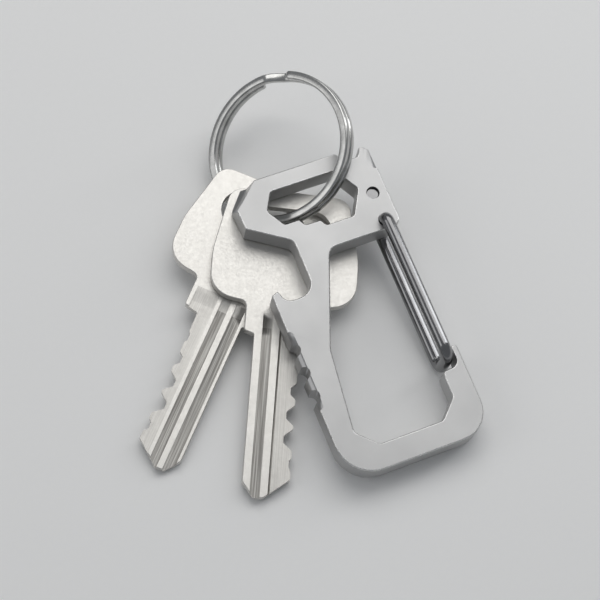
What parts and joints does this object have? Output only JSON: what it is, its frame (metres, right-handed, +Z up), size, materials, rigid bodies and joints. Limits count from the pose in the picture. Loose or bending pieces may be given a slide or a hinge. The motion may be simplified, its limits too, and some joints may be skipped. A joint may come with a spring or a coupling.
{
  "type": "carabiner keyring",
  "caption": "Flat pocket-tool carabiner with a sprung wire gate, a split ring through its nut slot, and door keys hanging on the ring.",
  "frame": {"origin": "centre of the bounding box at the surface it lies on", "axes": "+Z up from that surface; +Y from the hook end of the plate towards the eye end and the ring; +X towards the gate side"},
  "size_m": [0.0608, 0.082, 0.0194],
  "materials": {
    "plate_steel": "satin bead-blasted stainless steel",
    "gate_steel": "polished stainless wire",
    "ring_steel": "polished nickel-plated spring steel",
    "key_metal": "tumbled satin nickel plate"
  },
  "bodies": {
    "plate": {"carabiner_plate": "plate_steel"},
    "gate": {"wire_gate": "gate_steel"},
    "ring": {"split_ring": "ring_steel"},
    "lower_key_body": {"lower_key": "key_metal"},
    "upper_key_body": {"upper_key": "key_metal"}
  },
  "joints": [
    {"name": "gate_hinge", "type": "hinge", "parent": "plate", "child": "gate", "pos_m": [0.02743, 0.00408, 0.00827], "axis": [-0.033, 0.11, -0.9934], "range_deg": [0, 30], "stiffness_Nm_per_rad": 0.08, "springref_deg": -28.65},
    {"name": "ring_turn", "type": "hinge", "parent": "plate", "child": "ring", "pos_m": [0.01497, 0.02579, 0.01], "axis": [-0.5407, -0.0306, 0.8406], "continuous": true},
    {"name": "lower_key_swing", "type": "hinge", "parent": "plate", "child": "lower_key_body", "pos_m": [0.00683, 0.01539, 0.00437], "axis": [0.033, -0.11, 0.9934], "range_deg": [-44, 17]},
    {"name": "upper_key_swing", "type": "hinge", "parent": "plate", "child": "upper_key_body", "pos_m": [0.0097, 0.01301, 0.00612], "axis": [0.033, -0.11, 0.9934], "range_deg": [-17, 8]}
  ]
}
